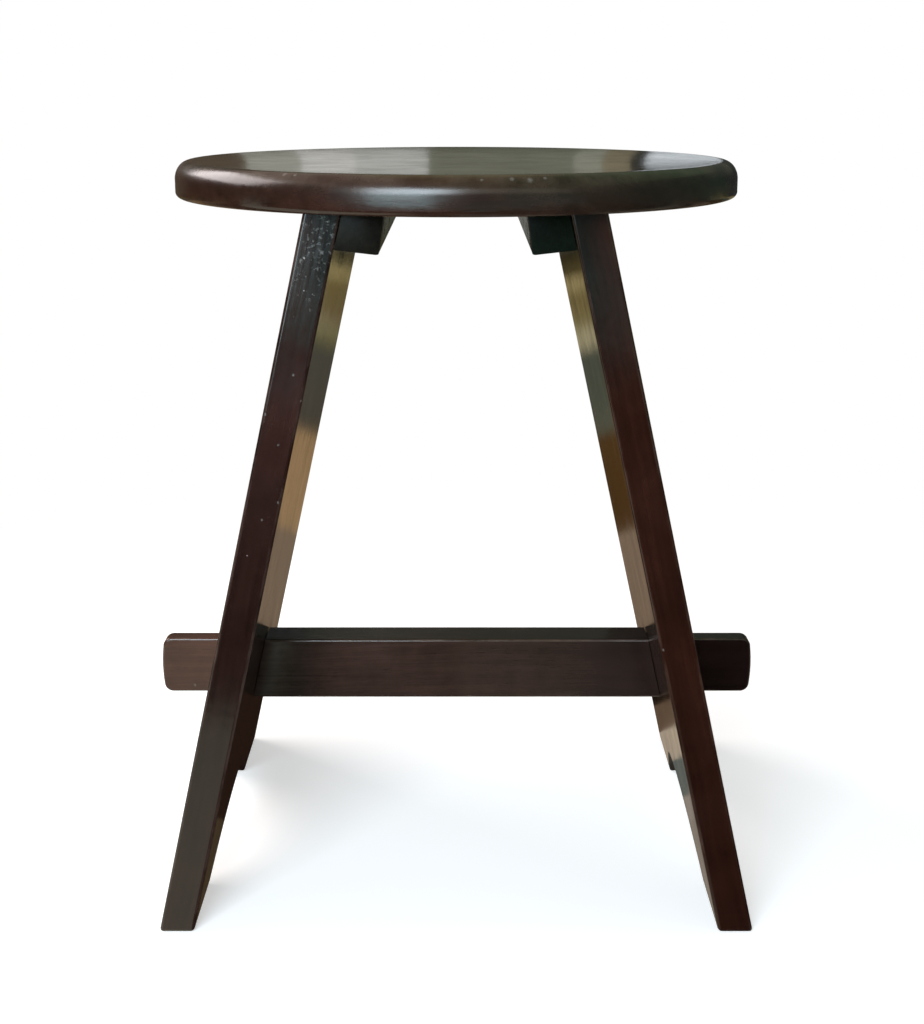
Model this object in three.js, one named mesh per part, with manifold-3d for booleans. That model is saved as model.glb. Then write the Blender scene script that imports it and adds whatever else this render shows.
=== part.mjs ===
// Splay-leg stool: a round dished seat on two wide slab legs, tied low down by a through-tenoned stretcher.
// Millimetres, +Z up. The floor is Z = 0, the stretcher runs along X, and the stool faces -Y.
// Each slab leg is two boards glued edge to edge, cut to a level top and foot, with an arch between its feet.
// A bevelled batten in each corner under the seat takes the screws that hold the seat to the legs.

import * as THREE from 'three';
import * as BufferGeometryUtils from 'three/addons/utils/BufferGeometryUtils.js';
import Module from 'manifold-3d';

const wasm = await Module();
wasm.setup();

// Seat
const stoolHeight = 457;
const seatDiameter = 352;
const seatThickness = 22;
const rimShoulderWidth = 9;
const rimShoulderHeight = 11;
const rimLowerRound = 3.5;
const dishDiameter = 330;
const dishDepth = 3;
const dishFlatness = 4;

// Slab legs
const splayAngle = THREE.MathUtils.degToRad(12.5);
const legTopSpacing = 125.5;
const boardWidth = 141;
const boardThickness = 20.5;
const boardEdgeRound = 2;
const archWidth = 168;
const archHeight = 45;

// Stretcher
const stretcherLevel = 119;
const stretcherHeight = 41;
const stretcherThickness = 25.4;
const stretcherEdgeRound = 1.5;
const tenonHeight = 38;
const tenonThickness = 12;
const tenonReach = 45;
const tenonCornerRound = 6;
const tenonEdgeRound = 1.5;

// Battens: the width is that of the lower face, the height that of the free side
const battenWidth = 25.4;
const battenHeight = 24;
const battenTilt = THREE.MathUtils.degToRad(6.5);
const battenInset = 1;
const battenEdgeRound = 2.5;

// Screws
const screwHeadDiameter = 8.4;
const screwHeadDepth = 3.6;
const screwHeadLand = 0.45;
const screwShankDiameter = 4.2;
const screwPointLength = 5;
const screwSlotWidth = 1.2;
const screwSlotDepth = 1.2;
const seatScrewBite = 11;
const legScrewBite = 12.5;
const legScrewFirst = 40;
const legScrewEdgeDistance = 41;

// Clearance between pieces that seat on or pass through each other
const fitGap = 0.3;

// Facets
const seatFacets = 96;
const roundFacets = 3;
const cornerFacets = 6;
const shoulderFacets = 8;
const dishFacets = 8;
const archFacets = 72;
const screwFacets = 12;
const creaseAngle = THREE.MathUtils.degToRad(26);
const weldDistance = 1e-4;

// Sizes that follow from the ones above
const seatUnderside = stoolHeight - seatThickness;
const legTop = seatUnderside - fitGap;
const archRise = archHeight / Math.cos(splayAngle);
const archRadius = (archWidth ** 2 / 4 + archRise ** 2) / (2 * archRise);
const farAway = stoolHeight + seatDiameter;

// A leg's own frame: its origin is the top inner corner, X runs out through the board and Z runs up along it
const legFrame = new THREE.Matrix4().makeRotationY(-splayAngle).setPosition(legTopSpacing / 2, 0, seatUnderside);
const intoLegFrame = legFrame.clone().invert();

// A batten's free faces are square to each other and tilted less than the leg, and its other two are planed to
// the leg and the seat. Its frame has the leg's origin, and is turned back from the leg's by the difference.
const battenTurn = splayAngle - battenTilt;
const battenFrame = new THREE.Matrix4().makeRotationY(battenTurn);
const battenReach =
  (battenWidth - battenHeight * Math.tan(battenTurn)) / (1 - Math.tan(battenTurn) * Math.tan(battenTilt));
const battenDrop = battenHeight - battenReach * Math.tan(battenTilt);

// Colours as the photograph shows them: near-black red-brown lacquer, and dull iron for the hidden screws
const finishes = {
  seat: { color: 0x3a2621, roughness: 0.28, metalness: 0 },
  leg: { color: 0x2d1b15, roughness: 0.24, metalness: 0 },
  stretcher: { color: 0x35201a, roughness: 0.26, metalness: 0 },
  batten: { color: 0x2a201a, roughness: 0.4, metalness: 0 },
  screw: { color: 0x57524c, roughness: 0.5, metalness: 0.9 },
};

// Half the distance between the legs' inner faces at height z
function innerFace(z) {
  return legTopSpacing / 2 + (seatUnderside - z) * Math.tan(splayAngle);
}

// A closed geometry as a solid that can be joined and cut
function toSolid(geometry) {
  const bare = geometry.clone();
  bare.deleteAttribute('normal');
  bare.deleteAttribute('uv');
  const merged = BufferGeometryUtils.mergeVertices(bare, weldDistance);
  const mesh = new wasm.Mesh({
    numProp: 3,
    vertProperties: new Float32Array(merged.attributes.position.array),
    triVerts: new Uint32Array(merged.index.array),
  });
  return new wasm.Manifold(mesh);
}

// A solid back as a geometry with crisp arrises and smooth rounds
function toGeometry(solid) {
  const mesh = solid.getMesh();
  const geometry = new THREE.BufferGeometry();
  geometry.setAttribute('position', new THREE.BufferAttribute(Float32Array.from(mesh.vertProperties), 3));
  geometry.setIndex(new THREE.BufferAttribute(Uint32Array.from(mesh.triVerts), 1));
  return BufferGeometryUtils.toCreasedNormals(geometry, creaseAngle);
}

function makeMesh(name, geometry, finish) {
  const mesh = new THREE.Mesh(geometry, new THREE.MeshStandardMaterial(finish));
  mesh.name = name;
  return mesh;
}

// A rectangle whose four corners, counter-clockwise from the lower left, have their own radii
function roundedRectangle(x0, y0, x1, y1, radii) {
  const [a, b, c, d] = radii;
  const shape = new THREE.Shape();
  shape.moveTo(x0 + a, y0);
  shape.lineTo(x1 - b, y0);
  if (b > 0) shape.absarc(x1 - b, y0 + b, b, -Math.PI / 2, 0);
  shape.lineTo(x1, y1 - c);
  if (c > 0) shape.absarc(x1 - c, y1 - c, c, 0, Math.PI / 2);
  shape.lineTo(x0 + d, y1);
  if (d > 0) shape.absarc(x0 + d, y1 - d, d, Math.PI / 2, Math.PI);
  shape.lineTo(x0, y0 + a);
  if (a > 0) shape.absarc(x0 + a, y0 + a, a, Math.PI, 1.5 * Math.PI);
  shape.closePath();
  return shape;
}

// A section drawn in X and Y, run along Z from one end to the other
function runAlongZ(section, from, to, facets) {
  const options = { depth: to - from, bevelEnabled: false, curveSegments: facets };
  return new THREE.ExtrudeGeometry(section, options).translate(0, 0, from);
}

// A section drawn in Y and Z, run along X, half of its length on each side
function runAlongX(section, length, facets) {
  const geometry = runAlongZ(section, -length / 2, length / 2, facets);
  return geometry.rotateX(Math.PI / 2).rotateZ(Math.PI / 2);
}

// A section drawn in X and Z, run along Y, half of its length on each side
function runAlongY(section, length, facets) {
  return runAlongZ(section, -length / 2, length / 2, facets).rotateX(Math.PI / 2);
}

// Everything between two levels, as seen from a leg's frame
function levelCutter(from, to) {
  const block = new THREE.BoxGeometry(farAway, farAway, to - from).translate(0, 0, (from + to) / 2);
  return toSolid(block.applyMatrix4(intoLegFrame));
}

// Countersunk wood screw, its head's flat at the origin and its point along +Z, grown all round by a clearance
function screwSolid(length, grow) {
  const head = screwHeadDiameter / 2 + grow;
  const shank = screwShankDiameter / 2 + grow;
  const sinkEnd = screwHeadDepth + grow;
  const start = grow > 0 ? -screwHeadDepth : 0;
  const profile = [
    new THREE.Vector2(0, start),
    new THREE.Vector2(head, start),
    new THREE.Vector2(head, grow + screwHeadLand),
    new THREE.Vector2(shank, sinkEnd),
    new THREE.Vector2(shank, length - screwPointLength + grow),
    new THREE.Vector2(0, length + grow),
  ];
  const turned = new THREE.LatheGeometry(profile, screwFacets);
  return toSolid(turned.rotateX(Math.PI / 2));
}

// The slotted screw itself
function screwGeometry(length) {
  const slot = new THREE.BoxGeometry(2 * screwHeadDiameter, screwSlotWidth, 2 * screwSlotDepth);
  return toGeometry(screwSolid(length, 0).subtract(toSolid(slot)));
}

// Where the screws sit in a leg's frame. Those into the leg stand on either side of those into the seat.
const seatScrewLength = battenDrop + (battenReach / 2) * Math.tan(battenTilt) + seatScrewBite;
const legScrewLength = battenReach + (battenDrop / 2) * Math.tan(battenTurn) + legScrewBite;
const legScrewLast = boardWidth - legScrewEdgeDistance;
const seatScrewOffset = (legScrewFirst + legScrewLast) / 2;
const seatScrewPlaces = [-seatScrewOffset, 0, seatScrewOffset].map(
  (y) => new THREE.Matrix4().makeTranslation(-battenReach / 2, y, -battenDrop).premultiply(battenFrame),
);
const legScrewOffsets = [-legScrewLast, -legScrewFirst, legScrewFirst, legScrewLast];
const intoLeg = new THREE.Matrix4().makeRotationY(Math.PI / 2);
const legScrewPlaces = legScrewOffsets.map(
  (y) => intoLeg.clone().setPosition(-battenReach, y, -battenDrop / 2).premultiply(battenFrame),
);

// The room that every screw of one side needs, in the leg's frame
function screwRoom() {
  const holes = [];
  for (const place of seatScrewPlaces) {
    holes.push(screwSolid(seatScrewLength, fitGap).transform(place.elements));
  }
  for (const place of legScrewPlaces) {
    holes.push(screwSolid(legScrewLength, fitGap).transform(place.elements));
  }
  return wasm.Manifold.union(holes);
}

// Seat: a turned disc with a rounded shoulder and a shallow dish, drilled from below for the screws
function seatGeometry() {
  const rim = seatDiameter / 2;
  const dish = dishDiameter / 2;
  const profile = [new THREE.Vector2(0, 0)];
  for (let i = 0; i <= roundFacets; i++) {
    const t = (i / roundFacets) * (Math.PI / 2);
    const r = rim - rimLowerRound + rimLowerRound * Math.sin(t);
    profile.push(new THREE.Vector2(r, rimLowerRound * (1 - Math.cos(t))));
  }
  for (let i = 0; i <= shoulderFacets; i++) {
    const t = (i / shoulderFacets) * (Math.PI / 2);
    const r = rim - rimShoulderWidth * (1 - Math.cos(t));
    profile.push(new THREE.Vector2(r, seatThickness - rimShoulderHeight * (1 - Math.sin(t))));
  }
  for (let i = dishFacets; i >= 0; i--) {
    const t = i / dishFacets;
    profile.push(new THREE.Vector2(dish * t, seatThickness - dishDepth * (1 - t ** dishFlatness)));
  }
  const disc = new THREE.LatheGeometry(profile, seatFacets).rotateX(Math.PI / 2).translate(0, 0, seatUnderside);
  const rightHoles = screwRoom().transform(legFrame.elements);
  return toGeometry(toSolid(disc).subtract(rightHoles).subtract(rightHoles.rotate([0, 0, 180])));
}

// The room that the stretcher's tenon needs where it passes through the legs
function mortise() {
  const y = tenonThickness / 2 + fitGap;
  const z = tenonHeight / 2 + fitGap;
  const opening = roundedRectangle(-y, stretcherLevel - z, y, stretcherLevel + z, [0, 0, 0, 0]);
  return toSolid(runAlongX(opening, farAway, 1).applyMatrix4(intoLegFrame));
}

// The arch sawn square through a slab between its two feet
function arch() {
  const floor = -seatUnderside / Math.cos(splayAngle) - (boardThickness / 2) * Math.tan(splayAngle);
  const round = new THREE.CylinderGeometry(archRadius, archRadius, farAway, archFacets).rotateZ(Math.PI / 2);
  return toSolid(round.translate(0, 0, floor + archRise - archRadius));
}

// One board of a slab leg, on the -Y side (front) or the +Y side (rear) of the glue line
function boardGeometry(side) {
  const r = boardEdgeRound;
  const section = side < 0
    ? roundedRectangle(0, -boardWidth, boardThickness, 0, [r, r, 0, 0])
    : roundedRectangle(0, 0, boardThickness, boardWidth, [0, 0, r, r]);
  const blank = toSolid(runAlongZ(section, -farAway, farAway, roundFacets));
  const sawn = blank.intersect(levelCutter(0, legTop));
  return toGeometry(sawn.subtract(arch()).subtract(mortise()).subtract(screwRoom()));
}

// Batten: a square bar planed to the leg and to the seat's underside, drilled and countersunk both ways
function battenGeometry() {
  const r = battenEdgeRound;
  const section = roundedRectangle(-battenReach, -battenDrop, battenWidth, battenHeight, [r, 0, 0, 0]);
  const blank = runAlongY(section, 2 * (boardWidth - battenInset), roundFacets).applyMatrix4(battenFrame);
  const besideLeg = new THREE.BoxGeometry(farAway, farAway, farAway).translate(-farAway / 2 - fitGap, 0, 0);
  const bar = toSolid(blank).intersect(toSolid(besideLeg)).intersect(levelCutter(0, legTop));
  return toGeometry(bar.subtract(screwRoom()));
}

// Stretcher: a rail between the legs, shouldered to their slope, with a thinner tenon right through each leg
function stretcherGeometry() {
  const railBottom = stretcherLevel - stretcherHeight / 2;
  const railTop = stretcherLevel + stretcherHeight / 2;
  const seatGap = fitGap / Math.cos(splayAngle);
  const shoulders = new THREE.Shape();
  shoulders.moveTo(-innerFace(railBottom) + seatGap, railBottom);
  shoulders.lineTo(innerFace(railBottom) - seatGap, railBottom);
  shoulders.lineTo(innerFace(railTop) - seatGap, railTop);
  shoulders.lineTo(-innerFace(railTop) + seatGap, railTop);
  shoulders.closePath();
  const e = stretcherEdgeRound;
  const half = stretcherThickness / 2;
  const railSection = roundedRectangle(-half, railBottom, half, railTop, [e, e, e, e]);
  const rail = toSolid(runAlongX(railSection, 2 * innerFace(0), roundFacets));
  const fitted = rail.intersect(toSolid(runAlongY(shoulders, farAway, 1)));

  const tip = innerFace(stretcherLevel) + boardThickness / Math.cos(splayAngle) + tenonReach;
  const thin = tenonThickness / 2;
  const tenonBottom = stretcherLevel - tenonHeight / 2;
  const tenonTop = stretcherLevel + tenonHeight / 2;
  const t = tenonEdgeRound;
  const c = tenonCornerRound;
  const tenonSection = roundedRectangle(-thin, tenonBottom, thin, tenonTop, [t, t, t, t]);
  const outline = roundedRectangle(-tip, tenonBottom, tip, tenonTop, [c, c, c, c]);
  const bar = toSolid(runAlongX(tenonSection, 2 * tip, roundFacets));
  const tenon = bar.intersect(toSolid(runAlongY(outline, farAway, cornerFacets)));
  return toGeometry(fitted.add(tenon));
}

// One leg with its batten and screws, in the leg's own frame
function legGroup(side, frontName, rearName) {
  const leg = new THREE.Group();
  leg.applyMatrix4(legFrame);
  leg.add(makeMesh(`${side}_leg_${frontName}_board`, boardGeometry(-1), finishes.leg));
  leg.add(makeMesh(`${side}_leg_${rearName}_board`, boardGeometry(1), finishes.leg));
  leg.add(makeMesh(`${side}_batten`, battenGeometry(), finishes.batten));
  seatScrewPlaces.forEach((place, i) => {
    const screw = makeMesh(`${side}_seat_screw_${i + 1}`, screwGeometry(seatScrewLength), finishes.screw);
    screw.applyMatrix4(place);
    leg.add(screw);
  });
  legScrewPlaces.forEach((place, i) => {
    const screw = makeMesh(`${side}_leg_screw_${i + 1}`, screwGeometry(legScrewLength), finishes.screw);
    screw.applyMatrix4(place);
    leg.add(screw);
  });
  return leg;
}

// The left side is the right side turned half round, so what is its front becomes the rear
const stool = new THREE.Group();
const rightSide = new THREE.Group();
const leftSide = new THREE.Group();
rightSide.add(legGroup('right', 'front', 'rear'));
leftSide.add(legGroup('left', 'rear', 'front'));
leftSide.rotation.z = Math.PI;
stool.add(makeMesh('seat', seatGeometry(), finishes.seat));
stool.add(makeMesh('stretcher', stretcherGeometry(), finishes.stretcher));
stool.add(rightSide);
stool.add(leftSide);

export default stool;
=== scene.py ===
# %% [markdown]
# # A splay-leg stool in dark lacquer
# The stool has a round dished seat, two slab legs of two boards each, a through-tenoned
# stretcher low down, a batten in each corner under the seat, and the screws that hold it
# together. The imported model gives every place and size. This script dresses it: each piece is
# made again with its rounded arrises and its finish, and stands exactly where its solid stands.

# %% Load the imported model
import math

import bmesh
import bpy
from mathutils import Matrix, Vector


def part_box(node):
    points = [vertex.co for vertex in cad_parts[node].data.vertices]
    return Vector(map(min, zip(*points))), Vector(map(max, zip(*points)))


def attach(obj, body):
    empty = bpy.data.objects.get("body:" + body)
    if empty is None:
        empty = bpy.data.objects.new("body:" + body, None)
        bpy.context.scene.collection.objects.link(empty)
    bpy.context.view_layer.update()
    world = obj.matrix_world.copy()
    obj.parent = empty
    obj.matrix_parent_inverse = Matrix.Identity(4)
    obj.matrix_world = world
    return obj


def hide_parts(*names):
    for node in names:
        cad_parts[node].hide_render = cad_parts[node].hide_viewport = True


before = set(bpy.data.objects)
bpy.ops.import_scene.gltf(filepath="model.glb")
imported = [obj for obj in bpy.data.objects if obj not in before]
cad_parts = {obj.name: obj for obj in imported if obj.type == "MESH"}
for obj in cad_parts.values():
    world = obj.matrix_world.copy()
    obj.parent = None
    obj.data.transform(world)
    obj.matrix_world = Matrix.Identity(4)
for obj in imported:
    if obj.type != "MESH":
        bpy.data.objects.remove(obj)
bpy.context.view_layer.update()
MM = 0.001

# %% [markdown]
# ## The sizes that the stool is made from
# Some can be measured on the solids: the seat's box gives its diameter, thickness and height,
# and the stretcher's box its length and depth. The others are the joiner's own settings, such
# as the splay of the legs, and are repeated here in millimetres from the source of the solids.

# %% Sizes
seat_low, seat_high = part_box("seat")
rail_low, rail_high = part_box("stretcher")
board_low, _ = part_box("right_leg_front_board")

fit_gap = 0.3 * MM
seat_radius = seat_high.x
seat_thickness = seat_high.z - seat_low.z
seat_underside = seat_low.z
leg_top = seat_underside - fit_gap
splay = math.radians(12.5)
leg_top_inner = 62.75 * MM
board_width = -board_low.y
board_thickness = 20.5 * MM
arch_width = 168 * MM
arch_height = 45 * MM
tenon_height = 38 * MM
tenon_thickness = 12 * MM
stretcher_level = (rail_low.z + rail_high.z) / 2
print("seat", round(2 * seat_radius / MM), "mm across, stretcher", round(2 * rail_high.x / MM), "mm")

# %% Sizes of a batten
# Two faces of the square stock are planed to slopes. The reach and the drop are what is left
# of it along the seat and down the leg.
batten_width, batten_height = 25.4 * MM, 24 * MM
batten_tilt = math.radians(6.5)
batten_turn = splay - batten_tilt
leg_slope, seat_slope = math.tan(batten_turn), math.tan(batten_tilt)
batten_reach = (batten_width - batten_height * leg_slope) / (1 - leg_slope * seat_slope)
batten_drop = batten_height - batten_reach * seat_slope
batten_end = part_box("right_batten")[1].y
print("batten", round(batten_reach / MM, 1), "by", round(batten_drop / MM, 1), "mm")

# %% [markdown]
# ## Two helpers
# A node tree is a list of nodes and links, so one function that adds a node, sets it and links
# it is enough for every shader and every geometry tree. Colours are written as the sRGB hex
# values that an eye compares with a photograph, and one function turns them to linear light.

# %% Helpers for colours and nodes
def linear(hex_colour):
    parts = [int(hex_colour[i : i + 2], 16) / 255 for i in (1, 3, 5)]
    return [c / 12.92 if c <= 0.04045 else ((c + 0.055) / 1.055) ** 2.4 for c in parts] + [1.0]


def add(tree, kind, inputs=None, **settings):
    node = tree.nodes.new(kind)
    for name, value in settings.items():
        setattr(node, name, value)
    for key, value in (inputs or {}).items():
        if isinstance(value, bpy.types.NodeSocket):
            tree.links.new(value, node.inputs[key])
        else:
            node.inputs[key].default_value = value
    return node


def empty_material(name):
    material = bpy.data.materials.new(name)
    material.use_nodes = True
    material.node_tree.nodes.clear()
    return material, material.node_tree


print("linear value of middle grey:", round(linear("#808080")[0], 3))

# %% [markdown]
# ## Camera
# The photograph was taken from just above the seat's height, about a metre away, tilted down a
# little. The place, tilt and lens come from a fit of the model's corners to the photograph.
# A small vertical shift moves the frame down without changing the perspective.

# %% Camera
camera_data = bpy.data.cameras.new("camera")
camera_data.lens = 54.34
camera_data.sensor_width = 36
camera_data.shift_y = -0.10
camera_data.clip_start, camera_data.clip_end = 0.05, 50
camera_tilt = math.radians(12.138)
camera = bpy.data.objects.new("camera", camera_data)
camera.location = (0.00353, -0.9907, 0.5073)
camera.rotation_euler = (math.pi / 2 - camera_tilt, 0, 0)
bpy.context.collection.objects.link(camera)
bpy.context.scene.camera = camera
bpy.context.scene.view_settings.view_transform = "Standard"
print("camera", round(-camera.location.y * 100), "cm in front of the stool's middle")

# %% [markdown]
# ## Studio: background and floor
# The background is white. The world is white for the rays that the camera, gloss or glass send
# out, and a dim grey for the light that it throws on the stool, so that the picture gets a
# white ground without more light. The floor is a pale disc. Near the stool it is a matt surface
# that takes a shadow, with a little white added for the same rays so that it comes out as pale
# as the background. With distance it turns into the white of the background.

# %% World
def seen_directly(tree):
    path = add(tree, "ShaderNodeLightPath")
    seen = path.outputs["Is Camera Ray"]
    for ray in ("Is Glossy Ray", "Is Transmission Ray"):
        seen = add(tree, "ShaderNodeMath", {0: seen, 1: path.outputs[ray]}, operation="MAXIMUM")
        seen = seen.outputs[0]
    return seen


white_light = (1, 1, 1, 1)
fill_level = 0.34
world = bpy.data.worlds.new("white_studio")
bpy.context.scene.world = world
world.use_nodes = True
tree = world.node_tree
tree.nodes.clear()
level = add(tree, "ShaderNodeMapRange",
    {"Value": seen_directly(tree), "To Min": fill_level, "To Max": 1.0})
ground = add(tree, "ShaderNodeBackground",
    {"Color": white_light, "Strength": level.outputs["Result"]})
add(tree, "ShaderNodeOutputWorld", {"Surface": ground.outputs[0]})
print("fill light:", fill_level)

# %% Floor disc
floor_radius, floor_sides = 6.0, 96
floor_mesh = bpy.data.meshes.new("floor")
bm = bmesh.new()
bmesh.ops.create_circle(bm, cap_ends=True, segments=floor_sides, radius=floor_radius)
bm.to_mesh(floor_mesh)
bm.free()
floor = bpy.data.objects.new("floor", floor_mesh)
bpy.context.collection.objects.link(floor)
print("floor disc", 2 * floor_radius, "m across")

# %% Floor paint
shadow_radius, white_radius = 0.35, 0.9
floor_lift = 0.5
floor_paint, tree = empty_material("matt_white_floor_paint")
spot = add(tree, "ShaderNodeTexCoord")
distance = add(tree, "ShaderNodeVectorMath", {0: spot.outputs["Object"]}, operation="LENGTH")
far = add(tree, "ShaderNodeMapRange",
    {"Value": distance.outputs["Value"], "From Min": shadow_radius, "From Max": white_radius},
    interpolation_type="SMOOTHSTEP")
seen = seen_directly(tree)
whitening = add(tree, "ShaderNodeMath", {0: seen, 1: far.outputs["Result"]}, operation="MULTIPLY")
matt = add(tree, "ShaderNodeBsdfDiffuse", {"Color": linear("#f6f6f4")})
lift = add(tree, "ShaderNodeMath", {0: seen, 1: floor_lift}, operation="MULTIPLY")
lifted = add(tree, "ShaderNodeEmission", {"Color": white_light, "Strength": lift.outputs[0]})
near = add(tree, "ShaderNodeAddShader", {0: matt.outputs[0], 1: lifted.outputs[0]})
white = add(tree, "ShaderNodeEmission", {"Color": white_light, "Strength": 1.0})
blend = add(tree, "ShaderNodeMixShader",
    {0: whitening.outputs[0], 1: near.outputs[0], 2: white.outputs[0]})
add(tree, "ShaderNodeOutputMaterial", {"Surface": blend.outputs[0]})
floor_mesh.materials.append(floor_paint)
print("white from", white_radius, "m on")

# %% [markdown]
# ## Soft boxes
# A soft box is an area lamp. Its radiance decides how bright its reflection in the lacquer is,
# and radiance times size decides how much it lights. The photograph shows two long reflections
# on the seat's rim: a warm one from the left and a bluish one from the front, both from above.

# %% Soft boxes
aim = Vector((0, 0, 0.3))


def soft_box(name, azimuth, elevation, distance, width, height, radiance, colour):
    lamp = bpy.data.lights.new(name, "AREA")
    lamp.shape = "RECTANGLE"
    lamp.size, lamp.size_y = width, height
    lamp.energy = radiance * math.pi * width * height
    lamp.color = linear(colour)[:3]
    box = bpy.data.objects.new(name, lamp)
    a, e = math.radians(azimuth), math.radians(elevation)
    away = Vector((math.sin(a) * math.cos(e), -math.cos(a) * math.cos(e), math.sin(e)))
    box.location = aim + distance * away
    box.rotation_euler = away.to_track_quat("Z", "Y").to_euler()
    box.visible_camera = False
    bpy.context.collection.objects.link(box)
    on_card = radiance * width * height / math.pi / distance**2
    print(name, "lights a facing white card to", round(on_card, 2))


soft_box("window_left", -109, 31, 1.7, 1.5, 0.70, 6.6, "#fff6f5")
soft_box("window_front", -17.5, 22, 1.8, 0.9, 0.70, 15.0, "#e2f3ff")

# %% [markdown]
# ## Cards for the reflections
# Lacquer shows the room as much as the wood. In an all-white room a dark gloss piece goes grey,
# so a photographer stands dark and coloured cards round it, outside the picture. Here the cards
# make a plain room three metres to each side. The seat's top mirrors the wall behind, which has
# pale and dark upright bands. The legs' inner faces mirror the floor behind, which has bands
# from brown to straw across it, and their front edges the floor in front. The seat's rim mirrors
# the wall in front, with a bright glow on its left and a teal skirting. Only reflections see
# the cards: no camera, shadow or fill light meets them.

# %% One card
def card(name, axis, at, u_range, v_range, colour, level=1.0):
    spots = []
    for u, v in ((0, 0), (1, 0), (1, 1), (0, 1)):
        spot = [u_range[u], v_range[v]]
        spot.insert(axis, at)
        spots.append(spot)
    mesh = bpy.data.meshes.new(name)
    mesh.from_pydata(spots, [], [(0, 1, 2, 3)])
    glowing_card, tree = empty_material(name + "_paper")
    # Each card glows by itself with a fixed colour and strength: it is no lamp, and stands in for the lit
    # room that reflections show.
    glow = add(tree, "ShaderNodeEmission", {"Color": linear(colour), "Strength": level})
    add(tree, "ShaderNodeOutputMaterial", {"Surface": glow.outputs[0]})
    glowing_card.cycles.emission_sampling = "NONE"
    mesh.materials.append(glowing_card)
    sheet = bpy.data.objects.new(name, mesh)
    sheet.visible_camera = sheet.visible_diffuse = sheet.visible_shadow = False
    bpy.context.collection.objects.link(sheet)


room, lid, skirting, picture_rail = 3.2, 2.4, 0.15, 1.0
card_height = 0.5 * MM
print("room", 2 * room, "m wide and", lid, "m high")

# %% Cards on the floor
# A strip runs from x to x, and its colours lie one after the other between its edges in y
floor_strips = {
    "front_outer_left": (-room, -0.16, (-0.47, 0.0), ["#e6ecd6"]),
    "front_inner_left": (-0.16, 0.0, (-0.47, 0.0), ["#4a3d2c"]),
    "front_inner_right": (0.0, 0.16, (-0.47, 0.0), ["#978c7f"]),
    "front_outer_right": (0.16, room, (-0.47, 0.0), ["#0c0a0a"]),
    "front_left": (-room, 0.0, (-2.4, -1.2, -0.47), ["#8e605c", "#301a16"]),
    "front_right": (0.0, room, (-2.4, -0.47), ["#241010"]),
    "front_end": (-room, room, (-room, -2.4), ["#aedcd4"]),
    "back_left": (
        -room, 0.0, (0.0, 0.36, 0.66, 1.1, 1.72, 1.95, 2.5, 2.74, room),
        ["#2a1c15", "#897560", "#a98a64", "#524d43", "#736b47", "#5e4c2c", "#685931", "#231c10"]),
    "back_right_near": (
        0.0, room, (0.0, 0.035, 0.095, 0.15, 0.2), ["#a09488", "#6c716a", "#bfae98", "#6b5745"]),
    "back_right": (
        0.0, room, (0.2, 0.36, 0.66, 1.1, 1.71, 1.95, 2.4, 2.66, room),
        ["#140f0a", "#8a7561", "#4e3619", "#52584b", "#b5aa86", "#8b7d52", "#bfae7a", "#2b2c20"]),
}
for strip, (x0, x1, edges, colours) in floor_strips.items():
    for y0, y1, colour in zip(edges, edges[1:], colours):
        card(f"floor_{strip}", 2, card_height, (x0, x1), (y0, y1), colour)
print("strips on the floor:", len(floor_strips))

# %% Cards on the walls and the ceiling: from x, to x, then from z, to z or from y, to y
back_cards = {
    "wall_1": (-room, -0.56, 0.0, picture_rail, "#5c5143"),
    "wall_2a": (-0.56, -0.42, 0.0, picture_rail, "#aeafa4"),
    "wall_2b": (-0.42, -0.28, 0.0, picture_rail, "#dadad4"),
    "wall_2c": (-0.28, -0.087, 0.0, picture_rail, "#c8cac4"),
    "wall_3": (-0.087, 0.30, 0.0, picture_rail, "#7b7f6f"),
    "wall_3b": (0.30, 0.374, 0.0, picture_rail, "#9a9c8c"),
    "wall_4": (0.374, 0.446, 0.0, picture_rail, "#8a8069"),
    "wall_frame": (0.446, 0.482, 0.0, picture_rail, "#161a18"),
    "wall_5": (0.482, 0.70, 0.64, picture_rail, "#d6dde2"),
    "wall_5_low": (0.482, 0.70, 0.0, 0.64, "#33383b"),
    "wall_6": (0.70, room, 0.0, picture_rail, "#3a3c3c"),
    "wall_top": (-room, room, picture_rail, lid, "#5a6056"),
}
front_cards = {
    "front_skirting": (-0.52, room, 0.0, skirting, "#17626a"),
    "front_left": (-room, -2.2, 0.0, picture_rail, "#4c4641"),
    "front_glow": (-2.2, -0.52, 0.0, picture_rail, "#d5f7ff"),
    "front_middle": (-0.52, 0.95, skirting, picture_rail, "#403c32"),
    "front_right": (0.95, room, skirting, picture_rail, "#3f8f80"),
    "front_top": (-room, room, picture_rail, lid, "#ecf2d8"),
}
lid_cards = {
    "lid_left": (-room, -0.5, -room, room, "#d2bfb1"),
    "lid_middle": (-0.5, 0.5, -room, room, "#bfb78d"),
    "lid_right": (0.5, room, -room, room, "#7b9776"),
}
brighter = {"front_glow": 6.5, "wall_5": 1.5}
for table, axis, at in ((back_cards, 1, room), (front_cards, 1, -room), (lid_cards, 2, lid)):
    for name, (u0, u1, v0, v1, colour) in table.items():
        card(name, axis, at, (u0, u1), (v0, v1), colour, brighter.get(name, 1.0))
card("side_left", 0, -room, (-room, room), (0.0, lid), "#120c0a")
card("side_right", 0, room, (-room, room), (0.0, lid), "#3a5248")
print("wall and ceiling cards:", len(back_cards) + len(front_cards) + len(lid_cards) + 2)

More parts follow.
